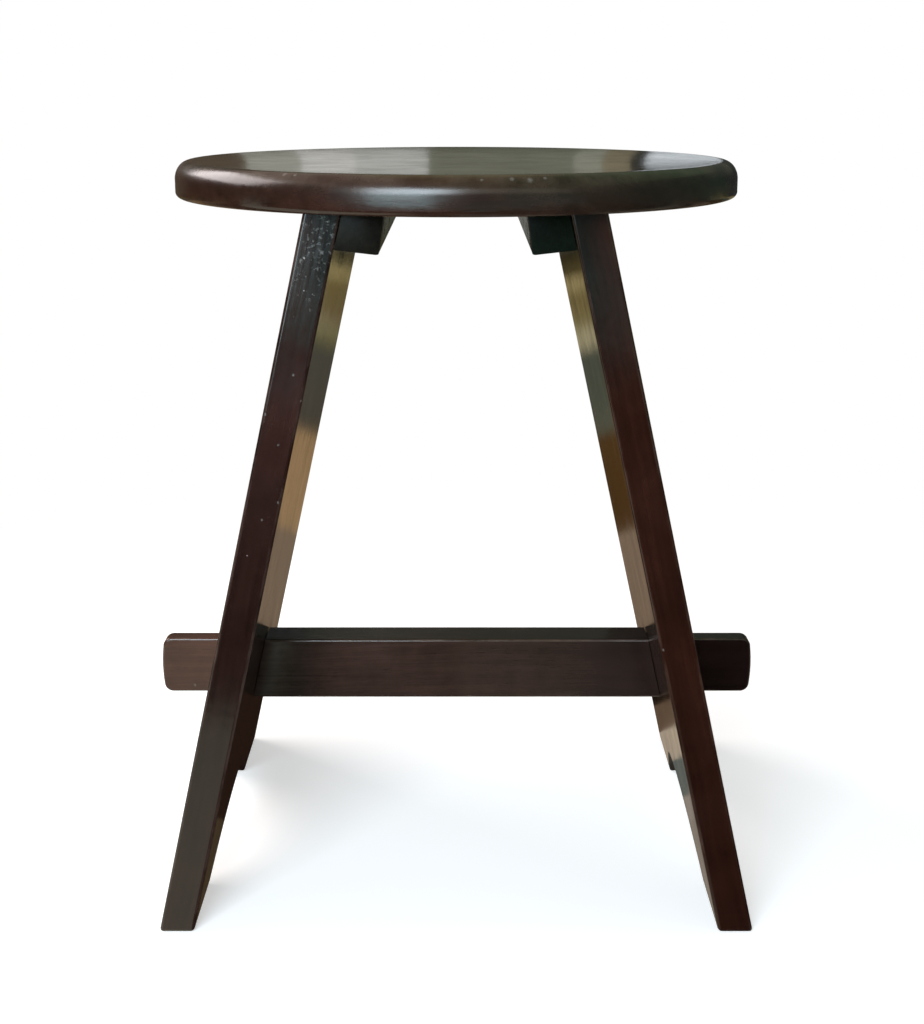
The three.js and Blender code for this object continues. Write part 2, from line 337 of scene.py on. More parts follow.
# %% [markdown]
# ## Lacquered wood
# The stool is a red-brown hardwood stained nearly black under a brushed gloss lacquer. What the
# eye gets is a dark body colour with faint bands and fibres along the grain, a clear mirror-like
# coat with slight waves, and lighter, duller arrises where hands and shoes have rubbed.
#
# Noise draws all of it. The piece's own coordinates are first turned so that X runs along the
# grain. Each field of noise is then stretched along X by its own real sizes, so that faces show
# streaks and sawn ends show dots, as on real wood. Some fields follow a grain that wanders a
# few millimetres over a hand's length, and the others lie straight. Noise stays mostly between
# 0.3 and 0.7, so each Map Range below picks out as much of a field as should show.

# %% Fields of noise in the wood
def per_mm(length_mm):
    return 1 / (length_mm * MM)


# Each field has the grain that it follows, a cell's length and width in mm, detail and roughness.
# Real fibres are 0.3 mm wide and pores 0.2 mm, too fine to show, so both are drawn wider.
wood_fields = {
    "bands": ("wandering", 110, 4, 2.0, 0.5),
    "fibres": ("wandering", 60, 1.2, 3.0, 0.55),
    "pores": ("wandering", 9, 0.7, 1.0, 0.5),
    "waves": ("wandering", 18, 18, 2.0, 0.5),
    "stain": ("straight", 60, 60, 3.0, 0.5),
    "mottle": ("straight", 14, 14, 3.0, 0.6),
    "rubbing": ("straight", 24, 24, 4.0, 0.6),
    "haze": ("straight", 35, 35, 6.0, 0.6),
}
hand_length, grain_drift = 150, 12 * MM


def wood_noise(tree, spot, grain_turn, grain_place):
    turned = add(tree, "ShaderNodeMapping",
        {"Vector": spot, "Location": grain_place, "Rotation": grain_turn}, vector_type="TEXTURE")
    straight = turned.outputs[0]
    drift = add(tree, "ShaderNodeTexNoise",
        {"Vector": straight, "Scale": per_mm(hand_length), "Detail": 2.0})
    wandering = add(tree, "ShaderNodeVectorMath",
        {0: drift.outputs["Color"], 1: (0, grain_drift, grain_drift), 2: straight},
        operation="MULTIPLY_ADD")
    grains = {"straight": straight, "wandering": wandering.outputs[0]}
    fields = {}
    for field, (grain, length, width, detail, roughness) in wood_fields.items():
        stretch = (per_mm(length), per_mm(width), per_mm(width))
        place = add(tree, "ShaderNodeVectorMath", {0: grains[grain], 1: stretch}, operation="MULTIPLY")
        noise = add(tree, "ShaderNodeTexNoise",
            {"Vector": place.outputs[0], "Scale": 1.0, "Detail": detail, "Roughness": roughness})
        fields[field] = noise.outputs["Fac"]
    return fields


print("fields of noise:", len(wood_fields))

# %% [markdown]
# The body colour runs between two stains. Bands, fibres, mottle and stain each have a share in
# it, and pores are dark strokes in it. A tint multiplies the body's red, green and blue and
# comes in between two places along the stool. Each tint is partly a change of stain and partly
# painted light: painted shade, painted light from the left and painted reflected colour, laid
# into the body colour along a piece.

# %% Stained body
tone_shares = {"bands": 0.35, "fibres": 0.25, "mottle": 0.25, "stain": 0.5}
pore_colour = linear("#120a07")


def stained_body(tree, fields, pores, parts, body_dark, body_light, stain_and_light_tints):
    tone = 0.0
    for field, share in tone_shares.items():
        tone = add(tree, "ShaderNodeMath",
            {0: fields[field], 1: share, 2: tone}, operation="MULTIPLY_ADD").outputs[0]
    tone = add(tree, "ShaderNodeMapRange", {"Value": tone, "From Min": 0.45, "From Max": 0.90})
    body = add(tree, "ShaderNodeMix",
        {0: tone.outputs["Result"], 6: linear(body_dark), 7: linear(body_light)}, data_type="RGBA")
    body = add(tree, "ShaderNodeMix", {0: pores, 6: body.outputs[2], 7: pore_colour}, data_type="RGBA")
    # The tints paint shade, light from the left and reflected colour into the body colour, together with
    # some stain.
    for factors, from_x, to_x in stain_and_light_tints:
        share = add(tree, "ShaderNodeMapRange",
            {"Value": parts.outputs["X"], "From Min": from_x * MM, "From Max": to_x * MM},
            interpolation_type="SMOOTHSTEP")
        stain_and_light_tint = add(tree, "ShaderNodeMix",
            {0: share.outputs["Result"], 4: (1, 1, 1), 5: factors}, data_type="VECTOR")
        body = add(tree, "ShaderNodeMix",
            {0: 1.0, 6: body.outputs[2], 7: stain_and_light_tint.outputs[1]}, data_type="RGBA", blend_type="MULTIPLY")
    return body.outputs[2]


print("shares in the tone:", tone_shares)

# %% [markdown]
# Years of use leave pale marks. Specks of dust and paint are about a millimetre across, one in
# each cell of 6 mm where there are any: a few low down, and as many as `dust` says from 60 mm
# above the height `dust_from`. Chips in the lacquer each have a place and a reach, and noise
# makes them ragged. In a scuffed patch the lacquer is crazed into flecks, thickest in its middle.

# %% Specks, chips and scuffs
speck_cell, few_specks, dust_rise = 6, 0.04, 60 * MM
chip_grit, chip_shake, chip_strength = 1.5, 2 * MM, 0.45
fleck_size, fleck_gain, fleck_strength = 2.4, 0.16, 0.34


def pale_marks(tree, spot, parts, dust, dust_from, chips, scuff):
    cells = add(tree, "ShaderNodeTexVoronoi", {"Vector": spot, "Scale": per_mm(speck_cell)})
    speck = add(tree, "ShaderNodeMapRange",
        {"Value": cells.outputs["Distance"], "From Min": 0.06, "From Max": 0.11,
         "To Min": 1.0, "To Max": 0.0})
    drawn = add(tree, "ShaderNodeSeparateColor", {0: cells.outputs["Color"]})
    share = add(tree, "ShaderNodeMapRange",
        {"Value": parts.outputs["Z"], "From Min": dust_from, "From Max": dust_from + dust_rise,
         "To Min": few_specks, "To Max": dust})
    kept = add(tree, "ShaderNodeMath",
        {0: drawn.outputs[0], 1: share.outputs["Result"]}, operation="LESS_THAN")
    marked = add(tree, "ShaderNodeMath",
        {0: speck.outputs["Result"], 1: kept.outputs[0]}, operation="MULTIPLY")
    ragged = add(tree, "ShaderNodeTexNoise", {"Vector": spot, "Scale": per_mm(chip_grit), "Detail": 2.0})
    shaken = add(tree, "ShaderNodeVectorMath",
        {0: ragged.outputs["Color"], 1: (chip_shake,) * 3, 2: spot}, operation="MULTIPLY_ADD")
    for *place, reach in chips:
        # The noise is a half on average, so it moves a chip by half the shake
        middle = [c * MM + chip_shake / 2 for c in place]
        away = add(tree, "ShaderNodeVectorMath", {0: shaken.outputs[0], 1: middle}, operation="DISTANCE")
        chip = add(tree, "ShaderNodeMapRange",
            {"Value": away.outputs["Value"], "From Max": reach * MM,
             "To Min": chip_strength, "To Max": 0.0})
        marked = add(tree, "ShaderNodeMath",
            {0: marked.outputs[0], 1: chip.outputs["Result"]}, operation="MAXIMUM")
    if scuff:
        *place, reach = scuff
        middle = [c * MM for c in place]
        away = add(tree, "ShaderNodeVectorMath", {0: spot, 1: middle}, operation="DISTANCE")
        patch = add(tree, "ShaderNodeMapRange",
            {"Value": away.outputs["Value"], "From Max": reach * MM,
             "To Min": fleck_gain, "To Max": 0.0})
        crazed = add(tree, "ShaderNodeTexNoise",
            {"Vector": spot, "Scale": per_mm(fleck_size), "Detail": 4.0, "Roughness": 0.7})
        crazed = add(tree, "ShaderNodeMath",
            {0: crazed.outputs["Fac"], 1: patch.outputs["Result"]}, operation="ADD")
        fleck = add(tree, "ShaderNodeMapRange",
            {"Value": crazed.outputs[0], "From Min": 0.70, "From Max": 0.84, "To Max": fleck_strength})
        marked = add(tree, "ShaderNodeMath",
            {0: marked.outputs[0], 1: fleck.outputs["Result"]}, operation="MAXIMUM")
    return marked.outputs[0]


print("specks in cells of", speck_cell, "mm")

# %% [markdown]
# The whole finish puts these together. The mesh says by two attributes where a piece is worn.
# The first lies on the arrises, and lets the bare wood show through where noise lets it; on the
# seat it also lies on a narrow ring at the dish's arris, where the pale worn colour is a painted
# highlight line. `handled` lies on the seat's rim, where the coat is only duller. The lacquer is
# one gloss layer with the usual IOR of 1.5. Bands and fibres telegraph through it as fine relief,
# how strongly is the piece's `ripple`, and the brushed coat waves slowly over some 18 mm. `shine`
# is the specular level: a half for the gloss lacquer, less for the thin coat on the battens.

# %% Lacquered wood
mark_colour = linear("#8c8a82")
relief_depth = 0.12 * MM


def lacquered_wood(name, grain_turn, grain_place, colours, gloss, pore_depth=0.35, dust=0.0,
        dust_from=0.0, chips=(), stain_and_light_tints=(), scuff=None, shine=0.5, ripple=0.5):
    material, tree = empty_material(name)
    body_dark, body_light, worn_and_highlight = colours
    spot = add(tree, "ShaderNodeTexCoord").outputs["Object"]
    parts = add(tree, "ShaderNodeSeparateXYZ", {0: spot})
    fields = wood_noise(tree, spot, grain_turn, grain_place)
    pores = add(tree, "ShaderNodeMapRange",
        {"Value": fields["pores"], "From Min": 0.62, "From Max": 0.74, "To Max": pore_depth})
    pores = pores.outputs["Result"]
    body = stained_body(tree, fields, pores, parts, body_dark, body_light, stain_and_light_tints)
    marked = pale_marks(tree, spot, parts, dust, dust_from, chips, scuff)

    arris = add(tree, "ShaderNodeAttribute", attribute_name="wear_and_highlight")
    handled = add(tree, "ShaderNodeAttribute", attribute_name="handled").outputs["Fac"]
    patchy = add(tree, "ShaderNodeMapRange",
        {"Value": fields["rubbing"], "From Min": 0.40, "From Max": 0.75, "To Max": 0.6})
    rubbed_and_highlight = add(tree, "ShaderNodeMath",
        {0: patchy.outputs["Result"], 1: arris.outputs["Fac"]}, operation="MULTIPLY").outputs[0]
    # The worn colour shows on rubbed arrises, and on the seat's dish arris as a painted highlight line.
    for share, colour in ((rubbed_and_highlight, linear(worn_and_highlight)), (marked, mark_colour)):
        body = add(tree, "ShaderNodeMix", {0: share, 6: body, 7: colour}, data_type="RGBA").outputs[2]

    dull = add(tree, "ShaderNodeMapRange",
        {"Value": fields["haze"], "From Min": 0.3, "From Max": 0.7,
         "To Min": gloss - 0.02, "To Max": gloss + 0.05}).outputs["Result"]
    for use, share in ((rubbed_and_highlight, 0.15), (marked, 0.5), (handled, 0.10)):
        dull = add(tree, "ShaderNodeMath",
            {0: use, 1: share, 2: dull}, operation="MULTIPLY_ADD").outputs[0]
    relief = fields["waves"]
    heights = ((fields["fibres"], 0.12), (fields["bands"], ripple), (pores, -0.12), (marked, 0.6))
    for height, share in heights:
        relief = add(tree, "ShaderNodeMath",
            {0: height, 1: share, 2: relief}, operation="MULTIPLY_ADD").outputs[0]
    bump = add(tree, "ShaderNodeBump", {"Height": relief, "Strength": 1.0, "Distance": relief_depth})
    shader = add(tree, "ShaderNodeBsdfPrincipled",
        {"Base Color": body, "Roughness": dull, "IOR": 1.5, "Specular IOR Level": shine,
         "Normal": bump.outputs[0]})
    add(tree, "ShaderNodeOutputMaterial", {"Surface": shader.outputs[0]})
    return material


print("marks are linear", [round(c, 2) for c in mark_colour[:3]])

# %% [markdown]
# Every piece has its own place in the noise, so that no two boards show the same figure. Its
# three colours are the dark and the light stain and the worn arris, which on the seat also paints
# the highlight line at the dish's arris. A chip or a scuff is x, y, z and reach, and a tint its
# factors, from x and to x, all in millimetres. A tint is partly stain and partly painted shade,
# painted light and painted reflected colour along the piece.

# %% Finishes of the seat, the stretcher and the battens
along_x, along_y = (0, 0, 0), (0, 0, math.pi / 2)
seat_wood = lacquered_wood(
    # The seat's third colour is its worn arris and also the painted highlight line at the dish's arris.
    "seat_gloss_lacquer", along_x, (0.0, 0.31, 0.16), ("#1b0f09", "#36211a", "#8d7a66"), 0.13, 0.1,
    chips=(
        (-92.5, -143.7, 455.9, 1.6), (-86.7, -147.8, 455.6, 1.2), (14.0, -172.1, 454.5, 1.1),
        (29.9, -169.7, 454.9, 1.7), (39.4, -168.4, 454.3, 2.0), (47.4, -165.3, 455.1, 1.4),
    ),
    # The seat's tint makes it cooler towards the right: partly stain, partly the greenish reflection
    # painted into the body colour.
    stain_and_light_tints=(((0.62, 1.1, 1.1), -20, 150),), ripple=0.6)
rail_wood = lacquered_wood(
    "stretcher_gloss_lacquer", along_x, (0.2, 0.05, 0.02), ("#221611", "#3f2c25", "#6f5a4e"), 0.13,
    chips=((-177.4, -6.0, 104.6, 1.2),),
    # Tints along the rail, each partly stain: darker and cooler next to the left leg as painted shade,
    # redder and brighter at the left tenon and lighter left of the middle as painted light from the left,
    # and darker towards the right leg as painted shade.
    stain_and_light_tints=(
        ((0.62, 0.8, 0.85), -80, -118), ((2.2, 1.15, 0.9), -136, -150),
        ((1.5, 1.6, 1.7), 20, -40), ((0.5, 0.48, 0.55), 40, 110),
    ))
batten_wood = lacquered_wood(
    "batten_thin_lacquer", along_y, (0.05, 0.2, 0.3), ("#0c0b08", "#1e1b14", "#3a332c"), 0.25,
    # The right batten's tint is darker and greener: painted shade and a painted green reflection, partly
    # stain.
    stain_and_light_tints=(((0.45, 0.85, 0.85), -20, 20),), shine=0.05)
print("finishes:", seat_wood.name, rail_wood.name, batten_wood.name)

# %% Finishes of the leg boards
leg_lean = -math.pi / 2 - splay
along_right_leg, along_left_leg = (0, leg_lean, 0), (0, leg_lean, math.pi)
leg_woods = {
    "right_leg_front_board": lacquered_wood(
        "right_front_board_gloss_lacquer", along_right_leg, (0.0, 0.12, 0.04),
        ("#1a0a06", "#341a12", "#4e3930"), 0.12, 0.15,
        # The tint makes the board darker and cooler towards its top under the seat: painted shade and a
        # painted teal reflection, partly stain.
        chips=((120.5, -140.9, 181.5, 1.0),), stain_and_light_tints=(((0.35, 0.8, 0.95), 92, 66),)),
    "right_leg_rear_board": lacquered_wood(
        "right_rear_board_gloss_lacquer", along_right_leg, (0.3, -0.18, 0.09),
        ("#1a0d09", "#37211a", "#4e3930"), 0.13, 0.15),
    "left_leg_front_board": lacquered_wood(
        "left_front_board_gloss_lacquer", along_left_leg, (0.35, 0.16, 0.27),
        ("#160b08", "#301d18", "#52403a"), 0.12, 0.15, dust=0.35, dust_from=0.34,
        chips=(
            (-91.0, -141.0, 344.4, 0.9), (-86.9, -140.5, 329.4, 0.8), (-107.3, -140.9, 321.4, 1.0),
            (-100.4, -141.0, 304.1, 0.9), (-101.3, -141.0, 270.1, 0.7), (-110.7, -141.0, 260.1, 0.9),
        ),
        # The tint makes the board darker and cooler towards its top under the seat: painted shade and a
        # painted teal reflection, partly stain.
        stain_and_light_tints=(((0.5, 0.8, 0.9), -92, -66),), scuff=(-66, -141, 414, 62)),
    "left_leg_rear_board": lacquered_wood(
        "left_rear_board_gloss_lacquer", along_left_leg, (0.4, -0.11, 0.03),
        ("#1b100c", "#36231c", "#52403a"), 0.13, 0.15),
}
print("leg finishes:", len(leg_woods))

# %% [markdown]
# The screws are iron wood screws gone dull and brown with age: a dark grey metal with
# rust-brown patches a few millimetres wide, rough and hardly metallic where it is rusty.

# %% Aged iron
aged_iron, tree = empty_material("aged_iron")
rust_patch, rust_depth = 2.5, 0.1 * MM
spot = add(tree, "ShaderNodeTexCoord")
patches = add(tree, "ShaderNodeTexNoise",
    {"Vector": spot.outputs["Object"], "Scale": per_mm(rust_patch), "Detail": 5.0, "Roughness": 0.7})
rust = add(tree, "ShaderNodeMapRange",
    {"Value": patches.outputs["Fac"], "From Min": 0.45, "From Max": 0.62}).outputs["Result"]
colour = add(tree, "ShaderNodeMix", {0: rust, 6: linear("#77726b"), 7: linear("#4b3224")}, data_type="RGBA")
metal = add(tree, "ShaderNodeMapRange", {"Value": rust, "To Min": 1.0, "To Max": 0.35})
rough = add(tree, "ShaderNodeMapRange", {"Value": rust, "To Min": 0.38, "To Max": 0.75})
bump = add(tree, "ShaderNodeBump",
    {"Height": patches.outputs["Fac"], "Strength": 0.6, "Distance": rust_depth})
shader = add(tree, "ShaderNodeBsdfPrincipled",
    {"Base Color": colour.outputs[2], "Metallic": metal.outputs["Result"],
     "Roughness": rough.outputs["Result"], "Normal": bump.outputs[0]})
add(tree, "ShaderNodeOutputMaterial", {"Surface": shader.outputs[0]})
print("screw finish made")

# %% [markdown]
# ## Turning a modifier's result into a plain mesh
# Every piece ends as a plain mesh at the origin that rides on the stool's one body and stands
# for its solids, which are hidden.

# %% Finishing a piece
def bake(maker):
    depsgraph = bpy.context.evaluated_depsgraph_get()
    result = maker.evaluated_get(depsgraph)
    mesh = bpy.data.meshes.new_from_object(result, preserve_all_data_layers=True, depsgraph=depsgraph)
    mesh.name = maker.name
    while mesh.materials and mesh.materials[0] is None:
        mesh.materials.pop(index=0)
    maker.modifiers.clear()
    maker.data = mesh
    return maker


def hand_in(piece, slot, *nodes):
    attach(piece, "root")
    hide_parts(*nodes)
    ends = [(min(c), max(c)) for c in zip(*(v.co for v in piece.data.vertices))]
    size = [round((high - low) / MM, 1) for low, high in ends]
    print(piece.name, "faces:", len(piece.data.polygons), "size in mm:", size)


print("helpers that finish a piece:", bake.__name__, hand_in.__name__)

# %% [markdown]
# ## Making a piece by a rule
# Geometry Nodes suit what a rule can draw. A tree's sizes are its named inputs, so they can be
# changed at any time. They are set by their identifiers before Blender works the object out
# once, and the result then becomes the object's own mesh. The tree ends by making its instances
# real and giving them their material, because only then do they leave Blender with the mesh.

# %% Starting, ending and using a tree
def start_tree(name, sizes, material, result, start=None):
    tree = bpy.data.node_groups.new(name, "GeometryNodeTree")
    if start:
        tree.interface.new_socket(start, in_out="INPUT", socket_type="NodeSocketGeometry")
    for size in sizes:
        tree.interface.new_socket(size, in_out="INPUT", socket_type="NodeSocketFloat")
    tree.interface.new_socket(material, in_out="INPUT", socket_type="NodeSocketMaterial")
    tree.interface.new_socket(result, in_out="OUTPUT", socket_type="NodeSocketGeometry")
    return tree, add(tree, "NodeGroupInput").outputs


def end_tree(tree, geometry, material, result):
    real = add(tree, "GeometryNodeRealizeInstances", {"Geometry": geometry})
    painted = add(tree, "GeometryNodeSetMaterial", {"Geometry": real.outputs[0], "Material": material})
    add(tree, "NodeGroupOutput", {result: painted.outputs[0]})
    print(tree.name, "has", len(tree.nodes), "nodes")


def from_tree(name, tree, values, start_mesh=None):
    maker = bpy.data.objects.new(name, start_mesh or bpy.data.meshes.new(name))
    modifier = maker.modifiers.new("rule", "NODES")
    modifier.node_group = tree
    for socket in tree.interface.items_tree:
        if socket.in_out == "INPUT" and socket.name in values:
            modifier[socket.identifier] = values[socket.name]
    bpy.context.collection.objects.link(maker)
    return bake(maker)


print("helpers for trees:", start_tree.__name__, end_tree.__name__, from_tree.__name__)

# %% [markdown]
# ## Seat
# On the real stool the seat is one round board, its edge rounded over and its top dished a
# little so that it sits well. A lathe would be the quick way: draw half of the section and spin
# it. Here a Geometry Nodes tree does the same by rule. Two grids are bent into discs, one for
# the top and one for the underside and edge, and each vertex gets its height from its radius.
# The rings crowd at the dish's arris and at the rim, where the section turns, so both stay
# crisp, and their number is odd, which puts one right on the arris.

# %% Seat tree and its sizes
seat_sizes = {
    "Radius": seat_radius,
    "Thickness": seat_thickness,
    "Underside Height": seat_underside,
    "Shoulder Width": 9 * MM,
    "Shoulder Height": 11 * MM,
    "Lower Round": 3.5 * MM,
    "Dish Radius": 165 * MM,
    "Dish Depth": 3 * MM,
}
seat_spokes, seat_rings = 256, 61
seat_tree, given = start_tree("turned_seat", seat_sizes, "Lacquer", "Seat")
print("each disc:", seat_spokes, "spokes and", seat_rings, "rings")

# %% A grid bent into a disc
# A row says what it makes, by which sum, and from what: numbers, sizes or rows above it. The
# grid's y runs over a quarter wave to the dish's arris and over another to the rim.
bend_rows = [
    ("twice", "MULTIPLY_ADD", "y", 2.0, 1.0),
    ("inside", "MINIMUM", "twice", 1.0),
    ("outside", "SUBTRACT", "twice", "inside"),
    ("inside angle", "MULTIPLY", "inside", math.pi / 2),
    ("outside angle", "MULTIPLY", "outside", math.pi / 2),
    ("inside sine", "SINE", "inside angle"),
    ("outside sine", "SINE", "outside angle"),
    ("land", "SUBTRACT", "Radius", "Dish Radius"),
    ("inner part", "MULTIPLY", "inside sine", "Dish Radius"),
    ("radius", "MULTIPLY_ADD", "outside sine", "land", "inner part"),
    ("cosine", "COSINE", "angle"),
    ("sine", "SINE", "angle"),
    ("along x", "MULTIPLY", "radius", "cosine"),
    ("along y", "MULTIPLY", "radius", "sine"),
]


def disc(turn, height_rows):
    grid = add(seat_tree, "GeometryNodeMeshGrid",
        {"Size X": 1.0, "Size Y": 1.0, "Vertices X": seat_spokes + 1, "Vertices Y": seat_rings})
    place = add(seat_tree, "GeometryNodeInputPosition")
    parts = add(seat_tree, "ShaderNodeSeparateXYZ", {0: place.outputs[0]})
    known = {"x": parts.outputs[0], "y": parts.outputs[1], **{size: given[size] for size in seat_sizes}}
    angle_row = ("angle", "MULTIPLY", "x", turn * 2 * math.pi)
    for name, operation, *values in (angle_row, *bend_rows, *height_rows):
        inputs = {i: known.get(value, value) for i, value in enumerate(values)}
        known[name] = add(seat_tree, "ShaderNodeMath", inputs, operation=operation).outputs[0]
    spot = add(seat_tree, "ShaderNodeCombineXYZ",
        {0: known["along x"], 1: known["along y"], 2: known["level"]})
    # The marks are stored first, because the same sums would read the new positions afterwards
    marked = grid
    for mark in ("wear_and_highlight", "handled"):
        marked = add(seat_tree, "GeometryNodeStoreNamedAttribute",
            {"Geometry": marked.outputs[0], "Name": mark, "Value": known[mark]},
            data_type="FLOAT", domain="POINT")
    bent = add(seat_tree, "GeometryNodeSetPosition",
        {"Geometry": marked.outputs[0], "Position": spot.outputs[0]})
    return bent.outputs[0]


print("rows that bend a grid:", len(bend_rows))

# %% [markdown]
# The shoulder of the top is a quarter of an ellipse, and the dish is flat in its middle and
# rises to its arris with the fourth power of the radius. Wear lies where the shoulder turns. A
# narrow ring at the arris takes the same pale colour, and there it is a painted highlight line.
# Hands meet the whole shoulder. The underside has a smaller round of its own, and in the end the
# two discs' rims, seams and poles are welded into one skin.

# %% Top of the seat
dish_power = 4.0
# The ring's share paints a highlight line along the dish's arris in the worn colour.
shoulder_wear, arris_highlight_share, ring_half_width = 1.5, 0.6, 1.0 * MM
handled_rise = 4.0
top = disc(-1, [
    ("start", "SUBTRACT", "Radius", "Shoulder Width"),
    ("past start", "SUBTRACT", "radius", "start"),
    ("share", "DIVIDE", "past start", "Shoulder Width"),
    ("share", "MAXIMUM", "share", 0.0),
    ("share", "MINIMUM", "share", 1.0),
    ("squared", "MULTIPLY", "share", "share"),
    ("rest", "SUBTRACT", 1.0, "squared"),
    ("arc", "SQRT", "rest"),
    ("fall", "SUBTRACT", 1.0, "arc"),
    ("shoulder", "MULTIPLY", "fall", "Shoulder Height"),
    ("in dish", "DIVIDE", "radius", "Dish Radius"),
    ("in dish", "MINIMUM", "in dish", 1.0),
    ("flatness", "POWER", "in dish", dish_power),
    ("hollow", "SUBTRACT", 1.0, "flatness"),
    ("dish", "MULTIPLY", "hollow", "Dish Depth"),
    ("top", "ADD", "Underside Height", "Thickness"),
    ("less shoulder", "SUBTRACT", "top", "shoulder"),
    ("level", "SUBTRACT", "less shoulder", "dish"),
    ("on land", "SUBTRACT", 1.0, "share"),
    ("turn", "MULTIPLY", "share", "on land"),
    ("turn", "MULTIPLY", "turn", shoulder_wear),
    ("ring width", "SUBTRACT", "start", "Dish Radius"),
    ("ring place", "MULTIPLY_ADD", "ring width", 0.5, "Dish Radius"),
    # The ring at the dish's arris is a painted highlight line, added to the shoulder's wear.
    ("ring", "COMPARE", "radius", "ring place", ring_half_width),
    ("wear_and_highlight", "MULTIPLY_ADD", "ring", arris_highlight_share, "turn"),
    ("handled", "MULTIPLY", "share", handled_rise),
    ("handled", "MINIMUM", "handled", 1.0),
])
print("shoulder", seat_sizes["Shoulder Width"] / MM, "mm wide")

# %% Underside and edge of the seat
# The outermost ring is lifted by the height of the edge's upright part, and is what hands meet
edge_wear = 0.7
seam = 0.002 * MM
bottom = disc(1, [
    ("start", "SUBTRACT", "Radius", "Lower Round"),
    ("past start", "SUBTRACT", "radius", "start"),
    ("share", "DIVIDE", "past start", "Lower Round"),
    ("share", "MAXIMUM", "share", 0.0),
    ("squared", "MULTIPLY", "share", "share"),
    ("rest", "SUBTRACT", 1.0, "squared"),
    ("rest", "MAXIMUM", "rest", 0.0),
    ("arc", "SQRT", "rest"),
    ("fall", "SUBTRACT", 1.0, "arc"),
    ("round", "MULTIPLY", "fall", "Lower Round"),
    ("handled", "COMPARE", "y", 0.5, 0.0001),
    ("wall", "SUBTRACT", "Thickness", "Shoulder Height"),
    ("wall", "SUBTRACT", "wall", "Lower Round"),
    ("side", "MULTIPLY", "handled", "wall"),
    ("raised", "ADD", "round", "side"),
    ("level", "ADD", "Underside Height", "raised"),
    ("on land", "SUBTRACT", 1.0, "share"),
    ("turn", "MULTIPLY", "share", "on land"),
    ("wear_and_highlight", "MULTIPLY", "turn", edge_wear),
])
joined = add(seat_tree, "GeometryNodeJoinGeometry")
for half in (bottom, top):
    seat_tree.links.new(half, joined.inputs[0])
closed = add(seat_tree, "GeometryNodeMergeByDistance", {"Geometry": joined.outputs[0], "Distance": seam})
smooth = add(seat_tree, "GeometryNodeSetShadeSmooth", {"Geometry": closed.outputs[0]})
end_tree(seat_tree, smooth.outputs[0], given["Lacquer"], "Seat")

# %% Seat
seat = from_tree("seat_round", seat_tree, {**seat_sizes, "Lacquer": seat_wood})
hand_in(seat, "seat_lacquer", "seat")

# %% [markdown]
# ## Sawn pieces with eased arrises
# Boards, battens and the stretcher are all sawn from stock: two matching outlines, one on each
# face, joined by flat sides. A plain box would have knife-sharp arrises that catch no light, so
# each edge carries its own radius as a bevel weight, and a Bevel modifier rounds them all at
# once. The faces that the modifier makes get a second material index. Where a vertex touches
# only such faces it lies on a rounded arris, and there it gets the wear that the lacquer reads.

# %% Sawn shape
def sawn_shape(near, far, near_rounds, far_rounds, cross_rounds):
    bm = bmesh.new()
    a = [bm.verts.new(p) for p in near]
    b = [bm.verts.new(p) for p in far]
    around = [(i, (i + 1) % len(near)) for i in range(len(near))]
    bm.faces.new(a)
    bm.faces.new(b)
    for i, j in around:
        bm.faces.new((a[i], a[j], b[j], b[i]))
    bmesh.ops.recalc_face_normals(bm, faces=bm.faces)
    biggest = max(*near_rounds, *far_rounds, *cross_rounds)
    weight = bm.edges.layers.float.new("bevel_weight_edge")
    for i, j in around:
        bm.edges.get((a[i], a[j]))[weight] = near_rounds[i] / biggest
        bm.edges.get((b[i], b[j]))[weight] = far_rounds[i] / biggest
        bm.edges.get((a[i], b[i]))[weight] = cross_rounds[i] / biggest
    for face in bm.faces:
        face.smooth = True
    return bm, biggest


print("a sawn shape has two faces and a side for each corner")

# %% Sawn piece
arris_segments = 4
countersink_angle = math.radians(32)


def sawn(name, near, far, near_rounds, far_rounds, cross_rounds, wood, cutter=None):
    bm, biggest = sawn_shape(near, far, near_rounds, far_rounds, cross_rounds)
    mesh = bpy.data.meshes.new(name)
    bm.to_mesh(mesh)
    bm.free()
    for _ in range(2):
        mesh.materials.append(wood)
    maker = bpy.data.objects.new(name, mesh)
    bpy.context.collection.objects.link(maker)
    ease = maker.modifiers.new("eased_arrises", "BEVEL")
    ease.limit_method, ease.width, ease.segments = "WEIGHT", biggest, arris_segments
    ease.harden_normals, ease.material = cutter is None, 1
    if cutter is not None:
        hole = maker.modifiers.new("screw_room", "BOOLEAN")
        hole.operation, hole.solver, hole.object = "DIFFERENCE", "EXACT", cutter
    mesh = bake(maker).data
    rounded = [1.0] * len(mesh.vertices)
    for face in mesh.polygons:
        if face.material_index != 1:
            for v in face.vertices:
                rounded[v] = 0.0
        face.material_index = 0
    wear_and_highlight = mesh.attributes.new("wear_and_highlight", "FLOAT", "POINT")
    wear_and_highlight.data.foreach_set("value", rounded)
    while len(mesh.materials) > 1:
        mesh.materials.pop()
    if cutter is not None:
        mesh.set_sharp_from_angle(angle=countersink_angle)
    return maker


print("each arris has", arris_segments, "segments")

# %% [markdown]
# ## Leg boards
# Each slab leg is two boards glued edge to edge, and an arch is sawn between its feet. A board
# is drawn in the leg's own frame, where X runs out through it and Z up along it. The top and
# the foot are cut level, so their height in that frame depends on how far out a point lies, and
# so does the mortise's, which runs level through the leg. The arch is sawn square to the board.

# %% Leg frame
def leaning(angle):
    return Matrix.Translation((leg_top_inner, 0, seat_underside)) @ Matrix.Rotation(-angle, 4, "Y")


leg_frame, batten_frame = leaning(splay), leaning(batten_tilt)
half_turn = Matrix.Rotation(math.pi, 4, "Z")
sides = {"right": leg_frame, "left": half_turn @ leg_frame}
batten_sides = {"right": batten_frame, "left": half_turn @ batten_frame}


def at_level(out, level):
    return (level - seat_underside - out * math.sin(splay)) / math.cos(splay)


